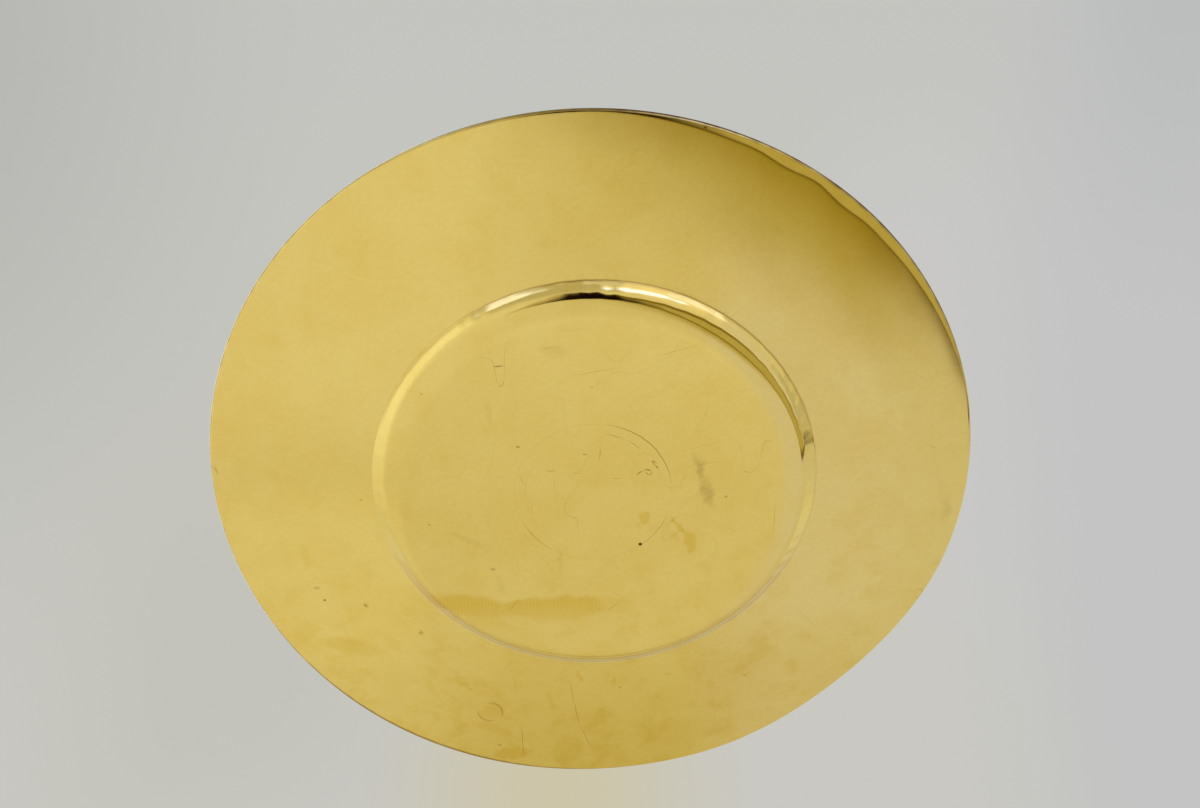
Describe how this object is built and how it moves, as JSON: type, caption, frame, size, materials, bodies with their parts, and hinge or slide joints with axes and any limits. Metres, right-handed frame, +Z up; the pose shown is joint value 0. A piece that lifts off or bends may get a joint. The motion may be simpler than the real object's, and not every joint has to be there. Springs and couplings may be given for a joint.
{
  "type": "paten",
  "caption": "Shallow round church plate raised from one sheet of gilt metal, with a flat sunken well, a steep low wall and a wide gently rising rim.",
  "frame": {"origin": "centre of the well's flat underside, on which the plate rests", "axes": "+Z up out of the hollow, square to the well's floor; the rim's trimmed flat stretch is between +X and +Y"},
  "size_m": [0.1499, 0.1501, 0.0065],
  "materials": {
    "gilt_metal": "hand-polished gilt metal, fine scratches and light tarnish"
  },
  "bodies": {
    "root": {"dish": "gilt_metal"}
  },
  "joints": []
}
